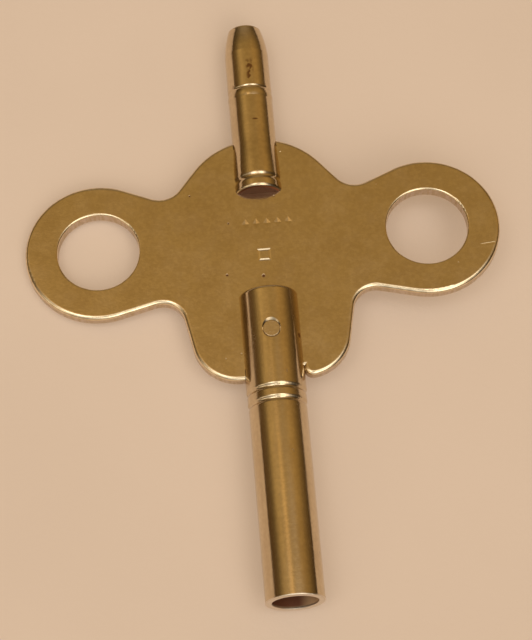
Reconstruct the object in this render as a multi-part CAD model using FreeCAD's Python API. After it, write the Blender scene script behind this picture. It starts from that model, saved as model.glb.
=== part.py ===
"""Double-ended winding key: a stamped wing plate with a large socketed barrel pinned over its lower
edge and a small socketed barrel pressed over its upper edge.

Frame, in millimetres: both barrels lie on the Y axis and the plate's mid-thickness is at Z = 0. The
origin is the centre of the large barrel's mouth; the small barrel's tip points to +Y and the wings
reach out to -X and +X. Writes one STEP file per piece.
"""

import FreeCAD
import Part

import math
import os

# ---- driving dimensions, mm and degrees ------------------------------------------------------

PLATE_THICKNESS = 1.6
PLATE_EDGE_RADIUS = 0.45          # tumbled outer edge
EAR_HOLE_EDGE_RADIUS = 0.24
NOTCH_DEPTH = 1.2                 # seat for each barrel, cut into the lobe's edge
WORN_CORNER_RADIUS = 1.0          # the plate's corner at the large barrel's right is worn round
WORN_STEP_RADIUS = 0.5            # other end of that wear, under the barrel
WORN_STEP_X = -2.0
WORN_STEP_DEPTH = 1.1             # less than the notch's depth
WORN_TUCK = 0.13                  # how far the round corner starts inside the notch
NOTCH_CLEARANCE = 0.03
SMALL_NOTCH_RADIUS = 2.57         # radius of the small barrel's flare at its seat

EAR_CENTRE_X = 18.4
EAR_LINE_Y = 41.6
EAR_RADIUS = 8.15
EAR_HOLE_RADIUS = 4.55

LOBE_CENTRE_Y = 45.1              # upper lobe: one arc about the barrel axis, then straight flanks
LOBE_RADIUS = 9.15
LOBE_FLANK_ANGLE = 51.0           # flank below horizontal
UPPER_NECK_ANGLE = 23.0           # neck line above horizontal where it leaves the ear
UPPER_NOTCH_RADIUS = 2.7

LOWER_EDGE_Y = 24.95              # lower lobe: straight edge, round corners, drafted sides
LOWER_CORNER_RADIUS = 5.0
WAIST_HALF_WIDTH = 9.14           # half width of the lower lobe at WAIST_Y
WAIST_Y = 31.6
SIDE_DRAFT_ANGLE = 11.3           # side off vertical
LOWER_NECK_ANGLE = 14.0
LOWER_NOTCH_RADIUS = 2.5

LARGE_RADIUS = 3.175              # 1/4 inch bar
LARGE_COLLAR_RADIUS = 3.3         # from the outer groove to the inner end
LARGE_LENGTH = 34.95
LARGE_SQUARE = 3.5                # socket across flats, clock key size 4
LARGE_SQUARE_DEPTH = 13.0
LARGE_PILOT_RADIUS = 1.8
LARGE_PILOT_DEPTH = 16.0
LARGE_BORE_RADIUS = 2.49          # round bore ahead of the square
LARGE_BORE_DEPTH = 2.4
LARGE_LEAD_RADIUS = 2.55
LARGE_GROOVES_Y = (23.15, 21.75)
LARGE_GROOVE_HALF_WIDTH = 0.38
LARGE_GROOVE_DEPTH = 0.12

SMALL_RADIUS = 2.52
SMALL_INNER_Y = 47.3
SMALL_TIP_Y = 68.65
SMALL_TIP_RADIUS = 1.95
SMALL_TAPER_Y = 65.15
SMALL_NOSE_BULGE = 0.1            # how far the taper curves out from a straight cone
SMALL_TIP_EDGE_RADIUS = 0.25
SMALL_SQUARE = 2.0                # socket across flats, clock key size 000
SMALL_SQUARE_DEPTH = 7.5
SMALL_PILOT_RADIUS = 1.03
SMALL_PILOT_DEPTH = 9.5
SMALL_BORE_RADIUS = 1.45
SMALL_BORE_DEPTH = 0.6
SMALL_LEAD_RADIUS = 1.55
SMALL_BEAD_Y = (59.1, 60.0)       # low turned bead half way along, with a groove beside it
SMALL_BEAD_HEIGHT = 0.05
SMALL_GROOVE_Y = 60.25
SMALL_GROOVE_HALF_WIDTH = 0.24
SMALL_GROOVE_DEPTH = 0.06
SMALL_FLARE_Y = (54.6, 49.4)      # the inner end flares out to a grooved collar
SMALL_COLLAR_RADIUS = 2.72
SMALL_COLLAR_GROOVE_Y = 48.75
SMALL_COLLAR_GROOVE_HALF_WIDTH = 0.5
SMALL_COLLAR_GROOVE_DEPTH = 0.1

INNER_END_RADIUS = 0.4            # rounding of each barrel's inner end
MOUTH_EDGE_RADIUS = 0.12
SLIT_CLEARANCE = 0.015            # gap between the plate and each wall of a slit
DRILL_POINT_ANGLE = 118.0
DRILL_WEB_RADIUS = 0.08           # small flat that the drill's web leaves at the very bottom

PIN_Y = 29.85
PIN_RADIUS = 0.94
PIN_HOLE_RADIUS = 0.95
PIN_HALF_LENGTH = 3.07            # its flat ends stop just under the crown of the barrel
PIN_EDGE_RADIUS = 0.06
PIN_SINK_ANGLE = 90.0             # countersink left by the burring tool

MARK_HALF_WIDTH = 0.42            # one lozenge punch, from a row of five
MARK_HALF_HEIGHT = 0.62
MARK_DEPTH = 0.05
MARK_ROW_Y = 43.55
MARK_ROW_CENTRE_X = 0.6
MARK_PITCH = 1.2
MARK_COUNT = 5
SQUARE_MARK_Y = 39.65             # square outline punch below the row
SQUARE_MARK_OUTER = 1.5
SQUARE_MARK_INNER = 0.9

X_AXIS = FreeCAD.Vector(1, 0, 0)
Y_AXIS = FreeCAD.Vector(0, 1, 0)
Z_AXIS = FreeCAD.Vector(0, 0, 1)
ORIGIN = FreeCAD.Vector(0, 0, 0)
HALF_PLATE = PLATE_THICKNESS / 2
OVERRUN = 1.0                     # how far cutting tools run past the metal they cut
SAME = 1e-6                       # lengths closer than this are equal


# ---- plane geometry --------------------------------------------------------------------------

def flat(x, y):
    return FreeCAD.Vector(x, y, 0)


def heading(degrees):
    """Unit vector in the XY plane, anticlockwise from +X."""
    angle = math.radians(degrees)
    return flat(math.cos(angle), math.sin(angle))


def crossing(point_a, along_a, point_b, along_b):
    """Where two lines in the XY plane meet."""
    gap = point_b - point_a
    turn = along_a.x * along_b.y - along_a.y * along_b.x
    reach = (gap.x * along_b.y - gap.y * along_b.x) / turn
    return point_a + along_a * reach


def rounded_corner(before, corner, after, radius):
    """Start, middle and end of the arc of this radius that rounds a corner."""
    back = (before - corner).normalize()
    ahead = (after - corner).normalize()
    half_angle = back.getAngle(ahead) / 2
    reach = radius / math.tan(half_angle)
    centre = corner + (back + ahead).normalize() * (radius / math.sin(half_angle))
    middle = centre + (corner - centre).normalize() * radius
    return corner + back * reach, middle, corner + ahead * reach


def arc(start, middle, end):
    return Part.Arc(start, middle, end).toShape()


# ---- wing plate ------------------------------------------------------------------------------

def right_outline():
    """Edges of the plate's right half, from the bottom of the barrel axis round to its top."""
    ear = flat(EAR_CENTRE_X, EAR_LINE_Y)
    lobe = flat(0, LOBE_CENTRE_Y)
    lower_neck_heading = heading(-LOWER_NECK_ANGLE)
    upper_neck_heading = heading(UPPER_NECK_ANGLE)
    side_heading = heading(90 - SIDE_DRAFT_ANGLE)
    flank_heading = heading(-LOBE_FLANK_ANGLE)

    waist = flat(WAIST_HALF_WIDTH, WAIST_Y)
    bottom = flat(0, LOWER_EDGE_Y)
    ear_below = ear + heading(270 - LOWER_NECK_ANGLE) * EAR_RADIUS
    ear_above = ear + heading(90 + UPPER_NECK_ANGLE) * EAR_RADIUS
    lobe_end = lobe + heading(90 - LOBE_FLANK_ANGLE) * LOBE_RADIUS

    foot = crossing(bottom, X_AXIS, waist, side_heading)
    lower_notch = crossing(waist, side_heading, ear_below, lower_neck_heading)
    upper_notch = crossing(ear_above, upper_neck_heading, lobe_end, flank_heading)
    foot_arc = rounded_corner(bottom, foot, waist, LOWER_CORNER_RADIUS)
    lower_arc = rounded_corner(foot, lower_notch, ear_below, LOWER_NOTCH_RADIUS)
    upper_arc = rounded_corner(ear_above, upper_notch, lobe_end, UPPER_NOTCH_RADIUS)

    return [
        Part.makeLine(bottom, foot_arc[0]),
        arc(*foot_arc),
        Part.makeLine(foot_arc[2], lower_arc[0]),
        arc(*lower_arc),
        Part.makeLine(lower_arc[2], ear_below),
        arc(ear_below, ear + X_AXIS * EAR_RADIUS, ear_above),
        Part.makeLine(ear_above, upper_arc[0]),
        arc(*upper_arc),
        Part.makeLine(upper_arc[2], lobe_end),
        arc(lobe_end, lobe + heading(90 - LOBE_FLANK_ANGLE / 2) * LOBE_RADIUS, lobe + Y_AXIS * LOBE_RADIUS),
    ]


def pyramid_frustum(half_x, half_y, top_scale, centre, depth):
    """Punch shape: a rectangle or lozenge of half sizes at the plate's face, narrowing downwards."""
    def ring(scale, z):
        corners = [(-half_x, -half_y), (half_x, -half_y), (half_x, half_y), (-half_x, half_y)]
        points = [centre + FreeCAD.Vector(x * scale, y * scale, z) for x, y in corners]
        return Part.makePolygon(points + points[:1])
    return Part.makeLoft([ring(1.0, HALF_PLATE), ring(top_scale, HALF_PLATE - depth)], True)


def lozenge_punch(centre):
    """Four-sided pyramid with its corners up, down, left and right."""
    rim = [
        centre + FreeCAD.Vector(0, -MARK_HALF_HEIGHT, HALF_PLATE),
        centre + FreeCAD.Vector(MARK_HALF_WIDTH, 0, HALF_PLATE),
        centre + FreeCAD.Vector(0, MARK_HALF_HEIGHT, HALF_PLATE),
        centre + FreeCAD.Vector(-MARK_HALF_WIDTH, 0, HALF_PLATE),
    ]
    apex = centre + Z_AXIS * (HALF_PLATE - MARK_DEPTH)
    faces = [Part.Face(Part.makePolygon(rim + rim[:1]))]
    for here, there in zip(rim, rim[1:] + rim[:1]):
        faces.append(Part.Face(Part.makePolygon([here, there, apex, here])))
    return Part.Solid(Part.Shell(faces))


def punched_marks():
    """Plain marks in the front face: a row of lozenges above a square outline."""
    first_x = MARK_ROW_CENTRE_X - MARK_PITCH * (MARK_COUNT - 1) / 2
    marks = [lozenge_punch(flat(first_x + MARK_PITCH * i, MARK_ROW_Y)) for i in range(MARK_COUNT)]
    centre = flat(0, SQUARE_MARK_Y)
    outer = SQUARE_MARK_OUTER / 2
    inner = SQUARE_MARK_INNER / 2
    middle = (outer + inner) / 2
    square = pyramid_frustum(outer, outer, middle / outer, centre, MARK_DEPTH)
    island = pyramid_frustum(inner, inner, middle / inner, centre, MARK_DEPTH)
    marks.append(square.cut(island))
    return marks


def is_rim(edge):
    """An edge that lies in the front or back face, and so can be rounded."""
    box = edge.BoundBox
    return box.ZLength < SAME and abs(abs(box.ZMin) - HALF_PLATE) < SAME


def lower_seat_y():
    return LOWER_EDGE_Y + NOTCH_DEPTH


def upper_seat_y():
    return LOBE_CENTRE_Y + LOBE_RADIUS - NOTCH_DEPTH


def notch_tools():
    """Round bars, a little larger than the barrels, that cut each barrel's seat into the lobe's edge."""
    tools = []
    for radius, seat_y, outward in (
        (LARGE_COLLAR_RADIUS + NOTCH_CLEARANCE, lower_seat_y(), -1),
        (SMALL_NOTCH_RADIUS + NOTCH_CLEARANCE, upper_seat_y(), 1),
    ):
        tools.append(Part.makeCylinder(radius, NOTCH_DEPTH + OVERRUN, Y_AXIS * seat_y, Y_AXIS * outward))
    return tools


def worn_corner(plate):
    """Takes a shallow step out of the lower edge and rounds the step's corners. The large barrel's
    notch later swallows all of it but the rounded corner at its right."""
    right_x = LARGE_COLLAR_RADIUS + NOTCH_CLEARANCE - WORN_TUCK
    corner = FreeCAD.Vector(WORN_STEP_X, LOWER_EDGE_Y - OVERRUN, -HALF_PLATE)
    height = WORN_STEP_DEPTH + OVERRUN
    plate = plate.cut(Part.makeBox(right_x - WORN_STEP_X, height, PLATE_THICKNESS, corner))
    for x, radius in ((right_x, WORN_CORNER_RADIUS), (WORN_STEP_X, WORN_STEP_RADIUS)):
        uprights = []
        for edge in plate.Edges:
            box = edge.BoundBox
            upright = abs(box.ZLength - PLATE_THICKNESS) < SAME and max(box.XLength, box.YLength) < SAME
            if upright and abs(box.XMin - x) < SAME and abs(box.YMin - LOWER_EDGE_Y) < SAME:
                uprights.append(edge)
        plate = plate.makeFillet(radius, uprights)
    return plate


def wing_plate():
    half = right_outline()
    other_half = [edge.mirror(ORIGIN, X_AXIS) for edge in half]
    outline = Part.Wire(Part.__sortEdges__(half + other_half))
    plate = Part.Face(outline).extrude(Z_AXIS * PLATE_THICKNESS)
    plate.translate(-Z_AXIS * HALF_PLATE)
    plate = worn_corner(plate)
    plate = plate.makeFillet(PLATE_EDGE_RADIUS, [edge for edge in plate.Edges if is_rim(edge)])

    below = -HALF_PLATE - OVERRUN
    through = PLATE_THICKNESS + 2 * OVERRUN
    for side in (-1, 1):
        centre = FreeCAD.Vector(side * EAR_CENTRE_X, EAR_LINE_Y, below)
        plate = plate.cut(Part.makeCylinder(EAR_HOLE_RADIUS, through, centre, Z_AXIS))
    hole_rims = [
        edge for edge in plate.Edges
        if is_rim(edge) and edge.Curve.TypeId == "Part::GeomCircle"
        and abs(edge.Curve.Radius - EAR_HOLE_RADIUS) < SAME
    ]
    plate = plate.makeFillet(EAR_HOLE_EDGE_RADIUS, hole_rims)
    pin_hole = Part.makeCylinder(PIN_HOLE_RADIUS, through, FreeCAD.Vector(0, PIN_Y, below), Z_AXIS)
    return plate.cut([pin_hole] + notch_tools() + punched_marks())


# ---- barrels ---------------------------------------------------------------------------------

def s_curve(start, end):
    """Two equal arcs that leave start and reach end parallel to the barrel's axis."""
    halfway = (start + end) * 0.5
    rise = end.x - start.x
    run = end.y - start.y
    radius = (rise * rise + run * run) / (4 * abs(rise))
    quarter = math.asin(abs(run) / 2 / radius) / 2
    side_step = radius * (1 - math.cos(quarter)) * math.copysign(1, rise)
    along = radius * math.sin(quarter) * math.copysign(1, run)
    first = arc(start, start + flat(side_step, along), halfway)
    second = arc(halfway, end - flat(side_step, along), end)
    return [first, second]


def groove(lip, bottom_radius, far_lip):
    """Profile edges of a turned groove with soft lips, from one lip to the other."""
    bottom = flat(bottom_radius, (lip.y + far_lip.y) / 2)
    return s_curve(lip, bottom) + s_curve(bottom, far_lip)


def corner_arc(centre, radius, degrees_from, degrees_to):
    middle = (degrees_from + degrees_to) / 2
    return arc(*(centre + heading(a) * radius for a in (degrees_from, middle, degrees_to)))


def turned(edges):
    """Solid of revolution about the Y axis, from profile edges given in order from one end's
    face to the other's. The end faces and the axis close the profile."""
    start = edges[0].Vertexes[0].Point
    last = edges[-1].Vertexes[1].Point
    closing = [
        Part.makeLine(last, flat(0, last.y)),
        Part.makeLine(flat(0, last.y), flat(0, start.y)),
        Part.makeLine(flat(0, start.y), start),
    ]
    profile = Part.Wire(edges + closing)
    return Part.Face(profile).revolve(ORIGIN, Y_AXIS, 360)


def joined(pieces):
    """Fills the straight stretches between the given profile pieces."""
    edges = []
    for piece in pieces:
        if edges:
            here = edges[-1].Vertexes[1].Point
            there = piece[0].Vertexes[0].Point
            if here.distanceToPoint(there) > SAME:
                edges.append(Part.makeLine(here, there))
        edges.extend(piece)
    return edges


def large_blank():
    """Collar, two grooves with a land between them, and body, from the inner end to the mouth."""
    inner_corner = flat(LARGE_COLLAR_RADIUS - INNER_END_RADIUS, LARGE_LENGTH - INNER_END_RADIUS)
    mouth_corner = flat(LARGE_RADIUS - MOUTH_EDGE_RADIUS, MOUTH_EDGE_RADIUS)
    land_radius = (LARGE_COLLAR_RADIUS + LARGE_RADIUS) / 2
    first_y, second_y = LARGE_GROOVES_Y
    reach = LARGE_GROOVE_HALF_WIDTH
    pieces = [
        [corner_arc(inner_corner, INNER_END_RADIUS, 90, 0)],
        groove(flat(LARGE_COLLAR_RADIUS, first_y + reach), land_radius - LARGE_GROOVE_DEPTH,
               flat(land_radius, first_y - reach)),
        groove(flat(land_radius, second_y + reach), LARGE_RADIUS - LARGE_GROOVE_DEPTH,
               flat(LARGE_RADIUS, second_y - reach)),
        [corner_arc(mouth_corner, MOUTH_EDGE_RADIUS, 0, -90)],
    ]
    return turned(joined(pieces))


def small_blank():
    """Grooved collar, flare, body, bead, groove and tapered nose, from the inner end outwards."""
    inner_corner = flat(SMALL_COLLAR_RADIUS - INNER_END_RADIUS, SMALL_INNER_Y + INNER_END_RADIUS)
    collar_reach = SMALL_COLLAR_GROOVE_HALF_WIDTH
    flare_start, flare_end = SMALL_FLARE_Y
    bead_start, bead_end = SMALL_BEAD_Y
    bead_top = flat(SMALL_RADIUS + SMALL_BEAD_HEIGHT, (bead_start + bead_end) / 2)
    reach = SMALL_GROOVE_HALF_WIDTH
    nose_start = flat(SMALL_RADIUS, SMALL_TAPER_Y)
    nose_end = flat(SMALL_TIP_RADIUS, SMALL_TIP_Y - SMALL_TIP_EDGE_RADIUS)
    slope = (nose_end - nose_start).normalize()
    nose_middle = (nose_start + nose_end) * 0.5 + flat(slope.y, -slope.x) * SMALL_NOSE_BULGE
    tip_corner = nose_end - flat(SMALL_TIP_EDGE_RADIUS, 0)
    pieces = [
        [corner_arc(inner_corner, INNER_END_RADIUS, -90, 0)],
        groove(flat(SMALL_COLLAR_RADIUS, SMALL_COLLAR_GROOVE_Y - collar_reach),
               SMALL_COLLAR_RADIUS - SMALL_COLLAR_GROOVE_DEPTH,
               flat(SMALL_COLLAR_RADIUS, SMALL_COLLAR_GROOVE_Y + collar_reach)),
        s_curve(flat(SMALL_COLLAR_RADIUS, flare_end), flat(SMALL_RADIUS, flare_start)),
        [arc(flat(SMALL_RADIUS, bead_start), bead_top, flat(SMALL_RADIUS, bead_end))],
        groove(flat(SMALL_RADIUS, SMALL_GROOVE_Y - reach), SMALL_RADIUS - SMALL_GROOVE_DEPTH,
               flat(SMALL_RADIUS, SMALL_GROOVE_Y + reach)),
        [arc(nose_start, nose_middle, nose_end)],
        [corner_arc(tip_corner, SMALL_TIP_EDGE_RADIUS, 0, 90)],
    ]
    return turned(joined(pieces))


def socket_tool(mouth_y, inward, square, square_depth, pilot_radius, pilot_depth,
                bore_radius, bore_depth, lead_radius):
    """Everything cut from one barrel mouth: broached square, pilot drilling, round bore ahead of the
    square and lead-in cone at the rim.
    inward is +1 or -1, the way along Y that leads into the metal."""
    into = Y_AXIS * inward
    mouth = Y_AXIS * mouth_y
    start = mouth - into * OVERRUN
    corner = FreeCAD.Vector(-square / 2, min(start.y, (mouth + into * square_depth).y), -square / 2)
    broached = Part.makeBox(square, square_depth + OVERRUN, square, corner)
    drilled = Part.makeCylinder(pilot_radius, pilot_depth + OVERRUN, start, into)
    point_length = (pilot_radius - DRILL_WEB_RADIUS) / math.tan(math.radians(DRILL_POINT_ANGLE / 2))
    point = Part.makeCone(pilot_radius, DRILL_WEB_RADIUS, point_length, mouth + into * pilot_depth, into)
    bore = Part.makeCylinder(bore_radius, bore_depth + OVERRUN, start, into)
    lead_depth = lead_radius - bore_radius
    lead = Part.makeCone(lead_radius + OVERRUN, bore_radius, lead_depth + OVERRUN, start, into)
    return broached.fuse([drilled, point, bore, lead])


def slit_tool(inner_y, seat_y, radius):
    """Slot sawn from a barrel's inner end down to its seat in the plate's notch."""
    width = PLATE_THICKNESS + 2 * SLIT_CLEARANCE
    away = math.copysign(1, seat_y - inner_y)
    low, high = sorted((inner_y - away * OVERRUN, seat_y + away * SLIT_CLEARANCE))
    reach = radius + OVERRUN
    return Part.makeBox(2 * reach, high - low, width, FreeCAD.Vector(-reach, low, -width / 2))


def pin_hole_tool():
    """Cross hole with a countersink that just breaks the crown of the barrel on each side."""
    reach = LARGE_COLLAR_RADIUS + OVERRUN
    hole = Part.makeCylinder(PIN_HOLE_RADIUS, 2 * reach, FreeCAD.Vector(0, PIN_Y, -reach), Z_AXIS)
    flare = OVERRUN * math.tan(math.radians(PIN_SINK_ANGLE / 2))
    sinks = []
    for side in (-1, 1):
        base = FreeCAD.Vector(0, PIN_Y, side * PIN_HALF_LENGTH)
        sinks.append(Part.makeCone(PIN_HOLE_RADIUS, PIN_HOLE_RADIUS + flare, OVERRUN, base, Z_AXIS * side))
    return hole.fuse(sinks)


def large_barrel():
    socket = socket_tool(
        0, 1, LARGE_SQUARE, LARGE_SQUARE_DEPTH,
        LARGE_PILOT_RADIUS, LARGE_PILOT_DEPTH,
        LARGE_BORE_RADIUS, LARGE_BORE_DEPTH, LARGE_LEAD_RADIUS,
    )
    slit = slit_tool(LARGE_LENGTH, lower_seat_y(), LARGE_COLLAR_RADIUS)
    return large_blank().cut([socket, slit, pin_hole_tool()])


def small_barrel():
    socket = socket_tool(
        SMALL_TIP_Y, -1, SMALL_SQUARE, SMALL_SQUARE_DEPTH,
        SMALL_PILOT_RADIUS, SMALL_PILOT_DEPTH,
        SMALL_BORE_RADIUS, SMALL_BORE_DEPTH, SMALL_LEAD_RADIUS,
    )
    slit = slit_tool(SMALL_INNER_Y, upper_seat_y(), SMALL_COLLAR_RADIUS)
    return small_blank().cut([socket, slit])


# ---- fastening -------------------------------------------------------------------------------

def cross_pin():
    foot = FreeCAD.Vector(0, PIN_Y, -PIN_HALF_LENGTH)
    pin = Part.makeCylinder(PIN_RADIUS, 2 * PIN_HALF_LENGTH, foot, Z_AXIS)
    rims = [edge for edge in pin.Edges if edge.BoundBox.ZLength < SAME]
    return pin.makeFillet(PIN_EDGE_RADIUS, rims)


# ---- output ----------------------------------------------------------------------------------

def main():
    os.makedirs("parts", exist_ok=True)
    pieces = {
        "wing_plate": wing_plate(),
        "large_barrel": large_barrel(),
        "small_barrel": small_barrel(),
        "cross_pin": cross_pin(),
    }
    for name, shape in pieces.items():
        print(name, "solids", len(shape.Solids), "valid", shape.isValid(), "mm3", round(shape.Volume, 2))
        shape.exportStep(os.path.join("parts", name + ".step"))


main()
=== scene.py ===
"""A double-ended winding key lying on a pale table, lit by soft studio lights.

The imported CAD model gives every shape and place. This script adds metal finishes, a table, lights
and a camera. Blender's lengths are in metres; a name that ends in _MM is in millimetres. Angles are
in degrees. An azimuth of 0 is the side that the large barrel's mouth faces, and 90 is the right.
"""

import math

import bpy
from mathutils import Matrix, Vector


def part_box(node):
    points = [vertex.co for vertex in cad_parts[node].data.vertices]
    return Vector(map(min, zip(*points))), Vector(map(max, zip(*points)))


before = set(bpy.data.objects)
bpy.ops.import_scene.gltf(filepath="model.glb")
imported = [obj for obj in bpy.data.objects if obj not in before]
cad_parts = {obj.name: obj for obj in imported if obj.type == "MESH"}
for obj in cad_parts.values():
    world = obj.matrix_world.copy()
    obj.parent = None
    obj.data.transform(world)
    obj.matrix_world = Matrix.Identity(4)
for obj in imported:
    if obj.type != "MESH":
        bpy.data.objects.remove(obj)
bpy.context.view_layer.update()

MM = 0.001
plate_face_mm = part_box("wing_plate")[1].z / MM

# ---- camera: aimed at a point of the plate, from the side of the large barrel ------------------

CAMERA_AZIMUTH = -2.94
CAMERA_ELEVATION = 67.05
CAMERA_DISTANCE_MM = 228.46
CAMERA_TARGET_MM = (-0.45, 32.10, 0.0)
CAMERA_ROLL = -1.92
CAMERA_REACH_MM = (10.0, 10000.0)     # nearest and farthest that it sees
LENS_MM = 116.74
SENSOR_MM = 36.0

# ---- room: soft lights on a dim warm sky. Each has a direction, a half width and a colour ------

SKY_LIGHTS = {
    "window": {"azimuth": 318, "elevation": 70, "width": 10, "colour": (4.1, 4.0, 3.8)},
    "near_lamp": {"azimuth": 25, "elevation": 38, "width": 11, "colour": (2.6, 2.2, 1.7)},
    "near_wall": {"azimuth": 5, "elevation": 42, "width": 22, "colour": (1.15, 1.12, 1.04)},
    "left_wall": {"azimuth": 300, "elevation": 30, "width": 12, "colour": (1.3, 1.1, 0.8)},
    "right_lamp": {"azimuth": 60, "elevation": 68, "width": 10, "colour": (3.0, 2.85, 2.6)},
    "ceiling": {"azimuth": 190, "elevation": 68, "width": 28, "colour": (0.362, 0.228, 0.068)},
    "far_left": {"azimuth": 232, "elevation": 48, "width": 11, "colour": (0.34, 0.23, 0.09)},
    "far_right": {"azimuth": 125, "elevation": 38, "width": 17, "colour": (0.33, 0.195, 0.055)},
    "left_corner": {"azimuth": 246, "elevation": 14, "width": 11, "colour": (0.07, 0.034, 0.012)},
    "right_corner": {"azimuth": 114, "elevation": 10, "width": 11, "colour": (0.05, 0.028, 0.010)},
    "far_wall": {"azimuth": 180, "elevation": 14, "width": 14, "colour": (0.28, 0.23, 0.17)},
    "crown_glow": {"azimuth": 216, "elevation": 75, "width": 5, "colour": (0.60, 0.37, 0.13)},
}
SKY_DIM = (0.03, 0.018, 0.008)
CAMERA_SHADE = {"strength": 0.95, "width": 9}     # the camera and its holder darken the sky there

# ---- table -------------------------------------------------------------------------------------

TABLE_HALF_MM = 3000.0
TABLE_ROUNDS = 6
TABLE_COLOUR = (0.525, 0.430, 0.366)
TABLE_SHADE = (0.500, 0.408, 0.345)
TABLE_GLOW = (0.225, 0.162, 0.110)     # light that has spread through the card

# ---- colours of the metal ----------------------------------------------------------------------

NICKEL = (0.65, 0.53, 0.36)
NICKEL_DULL = (0.55, 0.43, 0.28)
SHEARED_METAL = (0.64, 0.53, 0.43)
BARE_EDGE = (0.90, 0.76, 0.54)
TARNISH = (0.20, 0.085, 0.035)
# painted shade: the small barrel's inner end face, where it meets the plate
END_FACE_PAINTED_SHADE = (0.11, 0.037, 0.016)
# painted shade: the dark inside of each barrel's socket, where little light reaches
SOCKET_PAINTED_SHADE = (0.15, 0.055, 0.025)
# painted light: the lighter right-hand wall inside each socket, where lamplight falls
SOCKET_PAINTED_LIGHT = (0.62, 0.40, 0.22)
MOUTH_RIM = (0.78, 0.70, 0.60)

# ---- marks on the key. A mark's place is x, y and, where there is a third number, its radius ---

PLATE_PITS_MM = ((-0.3, 37.1, 0.22), (-4.3, 37.5, 0.15), (-3.7, 43.8, 0.10), (-7.8, 47.6, 0.11))
EAR_SCRATCH_MM = {"start": (24.1, 38.75), "end": (25.7, 38.9), "half_width": 0.07}
CORNER_NICK_MM = (2.85, 52.25, 0.12)
# painted shade: a dark spot on the large barrel's right flank, just above the plate
LARGE_SHADE_SPOT_MM = (3.0, 29.4, 0.28)
SMALL_TARNISH_X_MM = 0.2
SMALL_TARNISH_Y_MM = (60.9, 63.6)
SMALL_TARNISH_FADE_MM = 0.4
SMALL_DASH_MM = (0.3, 55.9)
SMALL_DASH_SQUEEZE = 3.0     # the dash is this many times wider than it is long
# how far into each socket the painted shade reaches
SOCKET_SHADE_DEPTH_MM = 18.0
SOCKET_LIGHT_X_MM = (0.3, 2.0)     # the painted light grows from the first place to the second
SOCKET_METALLIC = 0.35
SAME_PLACE_MM = 0.01

# ---- how strongly each layer of colour covers the one below, from 0 to 1 -----------------------

STRENGTH = {
    "dull_clouds": 0.6,
    "speckle": 0.20,
    "edge_wear": 0.8,
    "small_pits": 0.35,
    "scratch": 0.35,
    "nick": 0.5,
    "streaks": 0.35,
    "stains": 0.40,
    "mouth_rim": 0.8,
    "tarnish": 0.85,
    "file_marks": 0.4,
}

# ---- roughness: one value, or the least and the most -------------------------------------------

ROUGHNESS = {
    "plate": (0.13, 0.21),
    "sheared_wall": 0.42,
    "pits": 0.7,
    "barrel": (0.11, 0.20),
    "stains": 0.4,
    "mouth_rim": 0.34,
    "socket": 0.45,
    "shaded_end_face": 0.30,
    "pin": (0.15, 0.34),
    "table": 0.75,
}

# ---- depth of each surface's relief ------------------------------------------------------------

RELIEF_MM = {
    "plate_grain": 0.008,
    "plate_satin": 0.003,
    "plate_waves": 0.012,
    "plate_hollows": 0.03,
    "sheared_wall": 0.12,
    "barrel_grain": 0.006,
    "barrel_turning": 0.0025,
    "file_marks": 0.006,
    "table_tooth": 0.02,
}


class Nodes:
    """Adds nodes to a shader's tree. A method returns a socket that the next one can take."""

    def __init__(self, tree):
        self.tree = tree

    def node(self, kind, **attributes):
        made = self.tree.nodes.new(kind)
        for name, value in attributes.items():
            setattr(made, name, value)
        return made

    def feed(self, socket, value):
        """Links the socket to another one, or gives it a value. A colour gets an alpha of 1."""
        if isinstance(value, bpy.types.NodeSocket):
            self.tree.links.new(value, socket)
        elif isinstance(value, tuple) and len(socket.default_value) == 4:
            socket.default_value = (*value, 1.0)
        else:
            socket.default_value = value

    def vector(self, operation, a, b=None, scale=None):
        made = self.node("ShaderNodeVectorMath", operation=operation)
        self.feed(made.inputs[0], a)
        if b is not None:
            self.feed(made.inputs[1], b)
        if scale is not None:
            self.feed(made.inputs["Scale"], scale)
        gives_number = operation in ("LENGTH", "DISTANCE", "DOT_PRODUCT")
        return made.outputs["Value" if gives_number else "Vector"]

    def math(self, operation, a, b=None):
        made = self.node("ShaderNodeMath", operation=operation)
        self.feed(made.inputs[0], a)
        if b is not None:
            self.feed(made.inputs[1], b)
        return made.outputs[0]

    def times(self, a, b):
        return self.math("MULTIPLY", a, b)


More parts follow.
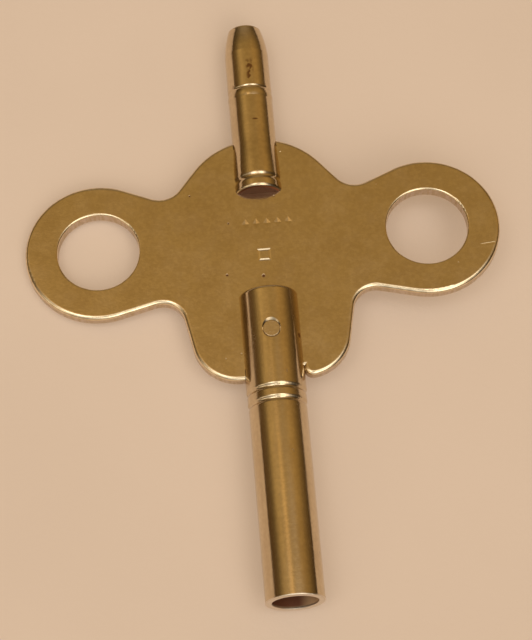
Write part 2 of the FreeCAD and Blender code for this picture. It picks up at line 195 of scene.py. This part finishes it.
class Shader(Nodes):
    """Builds one material. Places are in millimetres of the key's own frame."""

    def __init__(self, name):
        self.material = bpy.data.materials.new(name)
        self.material.use_nodes = True
        super().__init__(self.material.node_tree)
        self.surface = self.tree.nodes["Principled BSDF"]
        coords = self.node("ShaderNodeTexCoord").outputs["Object"]
        self.place = self.vector("SCALE", coords, scale=1 / MM)
        self.x, self.y, self.z = self.split(self.place)
        normal = self.node("ShaderNodeNewGeometry").outputs["Normal"]
        _, self.normal_y, self.normal_z = self.split(normal)

    def split(self, vector):
        made = self.node("ShaderNodeSeparateXYZ")
        self.feed(made.inputs[0], vector)
        return made.outputs[0], made.outputs[1], made.outputs[2]

    def rise(self, value, low, high):
        """0 below low, 1 above high, with a smooth step between. low may be the larger."""
        made = self.node("ShaderNodeMapRange", interpolation_type="SMOOTHSTEP")
        self.feed(made.inputs["Value"], value)
        if low < high:
            ends = (low, high, 0.0, 1.0)
        else:
            ends = (high, low, 1.0, 0.0)
        for name, end in zip(("From Min", "From Max", "To Min", "To Max"), ends):
            made.inputs[name].default_value = end
        return made.outputs["Result"]

    def noise(self, per_mm, detail=2.0, stretch=(1.0, 1.0, 1.0), shift=0.0):
        """Cloudy values about 0.5, with features of about 1 / per_mm."""
        place = self.vector("MULTIPLY", self.place, stretch)
        place = self.vector("ADD", place, (shift, shift, shift))
        made = self.node("ShaderNodeTexNoise")
        self.feed(made.inputs["Vector"], place)
        self.feed(made.inputs["Scale"], per_mm)
        self.feed(made.inputs["Detail"], detail)
        return made.outputs["Fac"]

    def specks(self, per_mm, size):
        """1 in small round spots scattered over the surface. A size of 0.5 fills the cells."""
        made = self.node("ShaderNodeTexVoronoi")
        self.feed(made.inputs["Vector"], self.place)
        self.feed(made.inputs["Scale"], per_mm)
        few_cells = self.rise(self.split(made.outputs["Color"])[0], 0.72, 0.78)
        return self.times(self.rise(made.outputs["Distance"], size, size * 0.4), few_cells)

    def spot(self, x, y, radius):
        """1 in a ragged round spot of the plate's front face."""
        flat_place = self.vector("MULTIPLY", self.place, (1.0, 1.0, 0.0))
        away = self.vector("DISTANCE", flat_place, (x, y, 0.0))
        raggedness = self.times(self.noise(per_mm=7.0, shift=x), radius * 0.8)
        inside = self.rise(self.math("ADD", away, raggedness), radius * 1.5, radius * 0.9)
        return self.times(inside, self.rise(self.z, plate_face_mm - 0.3, plate_face_mm - 0.2))

    def mix(self, amount, a, b):
        """A colour between a and b."""
        made = self.node("ShaderNodeMix", data_type="RGBA")
        self.feed(made.inputs[0], amount)
        self.feed(made.inputs[6], a)
        self.feed(made.inputs[7], b)
        return made.outputs[2]

    def blend(self, amount, a, b):
        """A number between a and b."""
        made = self.node("ShaderNodeMix", data_type="FLOAT")
        self.feed(made.inputs[0], amount)
        self.feed(made.inputs[2], a)
        self.feed(made.inputs[3], b)
        return made.outputs[0]

    def bump(self, height, depth_mm, under=None):
        made = self.node("ShaderNodeBump")
        self.feed(made.inputs["Height"], height)
        self.feed(made.inputs["Distance"], depth_mm * MM)
        if under is not None:
            self.feed(made.inputs["Normal"], under)
        return made.outputs["Normal"]

    def finish(self, colour, roughness, normal, metallic=1.0):
        self.feed(self.surface.inputs["Base Color"], colour)
        self.feed(self.surface.inputs["Roughness"], roughness)
        self.feed(self.surface.inputs["Metallic"], metallic)
        self.feed(self.surface.inputs["Normal"], normal)
        return self.material


def cloudy_nickel(shader):
    """Colour of old nickel: two tones in soft clouds, with a fine speckle over them."""
    clouds = shader.rise(shader.noise(per_mm=0.22, detail=4.0), 0.25, 0.80)
    colour = shader.mix(shader.times(clouds, STRENGTH["dull_clouds"]), NICKEL, NICKEL_DULL)
    speckle = shader.rise(shader.noise(per_mm=2.2, detail=4.0, shift=9.0), 0.40, 0.66)
    return shader.mix(shader.times(speckle, STRENGTH["speckle"]), colour, BARE_EDGE)


def plate_pits(shader):
    """1 in the larger pits, and less in the small ones scattered between them."""
    pits = shader.times(shader.specks(per_mm=0.6, size=0.07), STRENGTH["small_pits"])
    for x, y, radius in PLATE_PITS_MM:
        pits = shader.math("MAXIMUM", pits, shader.spot(x, y, radius))
    return pits


def ear_scratch(shader):
    """1 along a short scratch on the right ear, which fades out at both ends."""
    start = Vector(EAR_SCRATCH_MM["start"])
    along = Vector(EAR_SCRATCH_MM["end"]) - start
    side = Vector((-along.y, along.x)).normalized()
    middle = start + along / 2
    half_width = EAR_SCRATCH_MM["half_width"]
    from_start = shader.vector("SUBTRACT", shader.place, (*start, 0.0))
    away = shader.math("ABSOLUTE", shader.vector("DOT_PRODUCT", from_start, (*side, 0.0)))
    reach = shader.vector("DISTANCE", shader.place, (*middle, plate_face_mm))
    return shader.times(shader.rise(away, half_width * 2, half_width),
                        shader.rise(reach, along.length * 0.6, along.length * 0.4))


def plate_material():
    """Satin face with pits, a scratch and a nick, bright rounded edges and rough sheared walls."""
    shader = Shader("wing_plating")
    level = shader.math("ABSOLUTE", shader.normal_z)
    wall = shader.rise(level, 0.30, 0.05)
    rounded = shader.times(shader.rise(level, 0.985, 0.80), shader.rise(level, 0.10, 0.35))

    colour = cloudy_nickel(shader)
    wear = shader.times(rounded, shader.rise(shader.noise(per_mm=0.9, detail=4.0), 0.30, 0.60))
    colour = shader.mix(shader.times(wear, STRENGTH["edge_wear"]), colour, BARE_EDGE)
    shear_marks = shader.noise(per_mm=2.6, detail=4.0, stretch=(1.0, 1.0, 0.15))
    shear_colour = shader.mix(shader.rise(shear_marks, 0.35, 0.65), SHEARED_METAL, NICKEL_DULL)
    colour = shader.mix(wall, colour, shear_colour)
    pits = plate_pits(shader)
    colour = shader.mix(pits, colour, TARNISH)
    scratch = shader.times(ear_scratch(shader), STRENGTH["scratch"])
    nick = shader.times(shader.spot(*CORNER_NICK_MM), STRENGTH["nick"])
    bright_marks = shader.math("MAXIMUM", scratch, nick)
    colour = shader.mix(bright_marks, colour, BARE_EDGE)

    clouds = shader.rise(shader.noise(per_mm=0.5, detail=3.0), 0.3, 0.7)
    roughness = shader.blend(clouds, *ROUGHNESS["plate"])
    roughness = shader.blend(wall, roughness, ROUGHNESS["sheared_wall"])
    roughness = shader.blend(pits, roughness, ROUGHNESS["pits"])

    grain = shader.noise(per_mm=4.0, detail=5.0)
    satin = shader.noise(per_mm=3.0, detail=3.0, stretch=(0.25, 1.0, 1.0), shift=6.0)
    waves = shader.noise(per_mm=0.35, detail=2.0, shift=4.0)
    hollows = shader.times(shader.math("MAXIMUM", pits, bright_marks), -1.0)
    normal = shader.bump(grain, RELIEF_MM["plate_grain"])
    normal = shader.bump(satin, RELIEF_MM["plate_satin"], under=normal)
    normal = shader.bump(waves, RELIEF_MM["plate_waves"], under=normal)
    normal = shader.bump(hollows, RELIEF_MM["plate_hollows"], under=normal)
    normal = shader.bump(shader.times(shear_marks, wall), RELIEF_MM["sheared_wall"], under=normal)
    return shader.finish(colour, roughness, normal)


def barrel_finish(shader):
    """Colour, roughness and normal of a turned, polished and lightly tarnished barrel."""
    colour = cloudy_nickel(shader)
    streaks = shader.noise(per_mm=1.4, detail=4.0, stretch=(1.0, 0.12, 1.0), shift=3.0)
    dull_streaks = shader.times(shader.rise(streaks, 0.42, 0.68), STRENGTH["streaks"])
    colour = shader.mix(dull_streaks, colour, NICKEL_DULL)
    stains = shader.rise(shader.noise(per_mm=0.9, detail=5.0, shift=17.0), 0.66, 0.78)
    colour = shader.mix(shader.times(stains, STRENGTH["stains"]), colour, TARNISH)
    roughness = shader.blend(shader.rise(streaks, 0.3, 0.7), *ROUGHNESS["barrel"])
    roughness = shader.blend(stains, roughness, ROUGHNESS["stains"])
    grain = shader.noise(per_mm=5.0, detail=4.0)
    turning = shader.noise(per_mm=5.0, detail=2.0, stretch=(0.05, 1.0, 0.05))
    normal = shader.bump(grain, RELIEF_MM["barrel_grain"])
    normal = shader.bump(turning, RELIEF_MM["barrel_turning"], under=normal)
    return colour, roughness, normal


def paint_socket_shade(shader, colour, roughness, node, mouth_y):
    """Paints shade into the inside of a barrel's socket, with painted light on its right-hand side,
    and adds the light rim round its mouth.
    Returns the colour, the roughness and how metallic the surface is: the socket is made less
    metallic."""
    points = [point / MM for point in mesh_points(node)]
    mouth = [point for point in points if abs(point.y - mouth_y) < SAME_PLACE_MM]
    edge_radius = min(math.hypot(point.x, point.z) for point in mouth)
    from_axis = shader.vector("MULTIPLY", shader.place, (1.0, 0.0, 1.0))
    axis_distance = shader.vector("LENGTH", from_axis)
    depth = shader.math("ABSOLUTE", shader.math("SUBTRACT", shader.y, mouth_y))
    deep_end = shader.rise(depth, SOCKET_SHADE_DEPTH_MM + 1.0, SOCKET_SHADE_DEPTH_MM)
    inside = shader.rise(axis_distance, edge_radius - 0.01, edge_radius - 0.05)
    inside = shader.times(inside, shader.rise(depth, 0.05, 0.35))
    inside = shader.times(inside, deep_end)
    rim = shader.rise(depth, 0.22, 0.05)

    # painted shade in the socket, turning to painted light towards its right-hand wall
    painted_lining = shader.mix(shader.rise(shader.x, *SOCKET_LIGHT_X_MM), SOCKET_PAINTED_SHADE, SOCKET_PAINTED_LIGHT)
    colour = shader.mix(shader.times(rim, STRENGTH["mouth_rim"]), colour, MOUTH_RIM)
    colour = shader.mix(inside, colour, painted_lining)
    roughness = shader.blend(rim, roughness, ROUGHNESS["mouth_rim"])
    roughness = shader.blend(inside, roughness, ROUGHNESS["socket"])
    metallic = shader.blend(inside, 1.0, SOCKET_METALLIC)
    return colour, roughness, metallic


def large_barrel_material():
    """The turned finish with one dark spot of painted shade on the right flank, just above the
    plate.
    """
    shader = Shader("large_barrel_plating")
    low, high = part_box("large_barrel")
    colour, roughness, normal = barrel_finish(shader)
    x, y, radius = LARGE_SHADE_SPOT_MM
    z = math.sqrt((high.x / MM) ** 2 - x ** 2)
    away = shader.vector("DISTANCE", shader.place, (x, y, z))
    # painted shade: the dark spot on the right flank
    colour = shader.mix(shader.rise(away, radius * 1.3, radius * 0.6), colour, TARNISH)
    colour, roughness, metallic = paint_socket_shade(
        shader, colour, roughness, "large_barrel", low.y / MM)
    return shader.finish(colour, roughness, normal, metallic)


def crown_tarnish(shader):
    """1 in the ragged patches and in the short dash along the small barrel's crown."""
    start, end = SMALL_TARNISH_Y_MM
    fade = SMALL_TARNISH_FADE_MM
    band = shader.times(shader.rise(shader.y, start - fade, start + fade),
                        shader.rise(shader.y, end + fade, end - fade))
    beside = shader.math("ABSOLUTE", shader.math("SUBTRACT", shader.x, SMALL_TARNISH_X_MM))
    band = shader.times(band, shader.rise(beside, 0.55, 0.2))
    patches = shader.rise(shader.noise(per_mm=1.7, detail=4.0, shift=31.0), 0.44, 0.56)

    dash_x, dash_y = SMALL_DASH_MM
    squeezed = shader.vector("MULTIPLY", shader.place, (1.0, SMALL_DASH_SQUEEZE, 0.0))
    away = shader.vector("DISTANCE", squeezed, (dash_x, dash_y * SMALL_DASH_SQUEEZE, 0.0))
    dash = shader.rise(away, 0.42, 0.2)

    marks = shader.math("MAXIMUM", shader.times(band, patches), dash)
    return shader.times(marks, shader.rise(shader.z, 0.0, 1.0))


def small_barrel_material():
    """The turned finish with tarnish along the crown, and painted shade on the inner end face."""
    shader = Shader("small_barrel_plating")
    mouth_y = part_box("small_barrel")[1].y / MM
    colour, roughness, normal = barrel_finish(shader)
    tarnish = shader.times(crown_tarnish(shader), STRENGTH["tarnish"])
    colour = shader.mix(tarnish, colour, TARNISH)
    # painted shade on the inner end face, which faces down at its junction with the plate
    painted_end_shade = shader.rise(shader.normal_y, -0.6, -0.9)
    colour = shader.mix(painted_end_shade, colour, END_FACE_PAINTED_SHADE)
    colour, roughness, metallic = paint_socket_shade(
        shader, colour, roughness, "small_barrel", mouth_y)
    roughness = shader.blend(painted_end_shade, roughness, ROUGHNESS["shaded_end_face"])
    return shader.finish(colour, roughness, normal, metallic)


def pin_material():
    """Filed flush with the barrel, so its face carries fine straight file marks."""
    shader = Shader("pin_plating")
    file_marks = shader.noise(per_mm=6.0, detail=3.0, stretch=(0.15, 1.0, 1.0))
    dull_marks = shader.times(shader.rise(file_marks, 0.4, 0.7), STRENGTH["file_marks"])
    colour = shader.mix(dull_marks, cloudy_nickel(shader), NICKEL_DULL)
    roughness = shader.blend(file_marks, *ROUGHNESS["pin"])
    return shader.finish(colour, roughness, shader.bump(file_marks, RELIEF_MM["file_marks"]))


def table_material():
    """Matt pale card with a fine tooth and a little cloudiness."""
    shader = Shader("table")
    clouds = shader.rise(shader.noise(per_mm=0.03, detail=5.0), 0.3, 0.7)
    colour = shader.mix(clouds, TABLE_COLOUR, TABLE_SHADE)
    tooth = shader.bump(shader.noise(per_mm=1.6, detail=6.0), RELIEF_MM["table_tooth"])
    shader.feed(shader.surface.inputs["Emission Color"], TABLE_GLOW)
    shader.feed(shader.surface.inputs["Emission Strength"], 1.0)
    return shader.finish(colour, ROUGHNESS["table"], tooth, metallic=0.0)


def mesh_points(node):
    return [vertex.co.copy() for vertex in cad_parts[node].data.vertices]


def table_plane():
    """Height and slopes of the plane z = height + slope_x * x + slope_y * y that the key rests on:
    it touches both barrels and the left wing. Each round takes the lowest point of each of the
    three above the present plane, and lays the next plane through them."""
    left_wing = [point for point in mesh_points("wing_plate") if point.x < 0]
    supports = [mesh_points("large_barrel"), mesh_points("small_barrel"), left_wing]
    slope_x = slope_y = height = 0.0
    for _ in range(TABLE_ROUNDS):
        feet = [min(points, key=lambda p: p.z - slope_x * p.x - slope_y * p.y)
                for points in supports]
        places = Matrix([(foot.x, foot.y, 1.0) for foot in feet])
        slope_x, slope_y, height = places.inverted() @ Vector([foot.z for foot in feet])
    return height, slope_x, slope_y


def add_table():
    height, slope_x, slope_y = table_plane()
    half = TABLE_HALF_MM * MM
    corners = [(-half, -half), (half, -half), (half, half), (-half, half)]
    points = [(x, y, height + slope_x * x + slope_y * y) for x, y in corners]
    mesh = bpy.data.meshes.new("table")
    mesh.from_pydata(points, [], [(0, 1, 2, 3)])
    mesh.materials.append(table_material())
    table = bpy.data.objects.new("table", mesh)
    bpy.context.scene.collection.objects.link(table)


def direction(azimuth, elevation):
    """Unit vector from the key towards a light or the camera."""
    turn = math.radians(azimuth)
    lift = math.radians(elevation)
    flat = math.cos(lift)
    return Vector((math.sin(turn) * flat, -math.cos(turn) * flat, math.sin(lift)))


def add_world():
    """Adds each sky light as a soft round glow, exp((cos(angle away) - 1) / width ** 2)."""
    world = bpy.data.worlds.new("room")
    bpy.context.scene.world = world
    world.use_nodes = True
    sky = Nodes(world.node_tree)
    looking = sky.vector("NORMALIZE", sky.node("ShaderNodeTexCoord").outputs["Generated"])

    def glow(azimuth, elevation, width):
        cosine = sky.vector("DOT_PRODUCT", looking, direction(azimuth, elevation))
        closeness = sky.math("SUBTRACT", cosine, 1.0)
        return sky.math("EXPONENT", sky.times(closeness, math.radians(width) ** -2))

    total = SKY_DIM
    for light in SKY_LIGHTS.values():
        strength = glow(light["azimuth"], light["elevation"], light["width"])
        total = sky.vector("ADD", total, sky.vector("SCALE", light["colour"], scale=strength))
    shade = glow(CAMERA_AZIMUTH, CAMERA_ELEVATION, CAMERA_SHADE["width"])
    left_over = sky.math("ADD", sky.times(shade, -CAMERA_SHADE["strength"]), 1.0)
    shaded = sky.vector("SCALE", total, scale=left_over)
    sky.feed(world.node_tree.nodes["Background"].inputs["Color"], shaded)


def add_camera():
    data = bpy.data.cameras.new("camera")
    data.lens = LENS_MM
    data.sensor_width = SENSOR_MM
    data.clip_start, data.clip_end = (reach * MM for reach in CAMERA_REACH_MM)
    camera = bpy.data.objects.new("camera", data)
    bpy.context.scene.collection.objects.link(camera)
    back = direction(CAMERA_AZIMUTH, CAMERA_ELEVATION)
    aim = (-back).to_track_quat("-Z", "Y").to_matrix()
    roll = Matrix.Rotation(math.radians(CAMERA_ROLL), 3, "Z")
    camera.rotation_mode = "QUATERNION"
    camera.rotation_quaternion = (aim @ roll).to_quaternion()
    camera.location = (Vector(CAMERA_TARGET_MM) + back * CAMERA_DISTANCE_MM) * MM
    bpy.context.scene.camera = camera


def set_material(node, material):
    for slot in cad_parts[node].material_slots:
        slot.material = material


set_material("wing_plate", plate_material())
set_material("large_barrel", large_barrel_material())
set_material("small_barrel", small_barrel_material())
set_material("cross_pin", pin_material())
add_table()
add_world()
add_camera()
bpy.context.scene.view_settings.view_transform = "Standard"
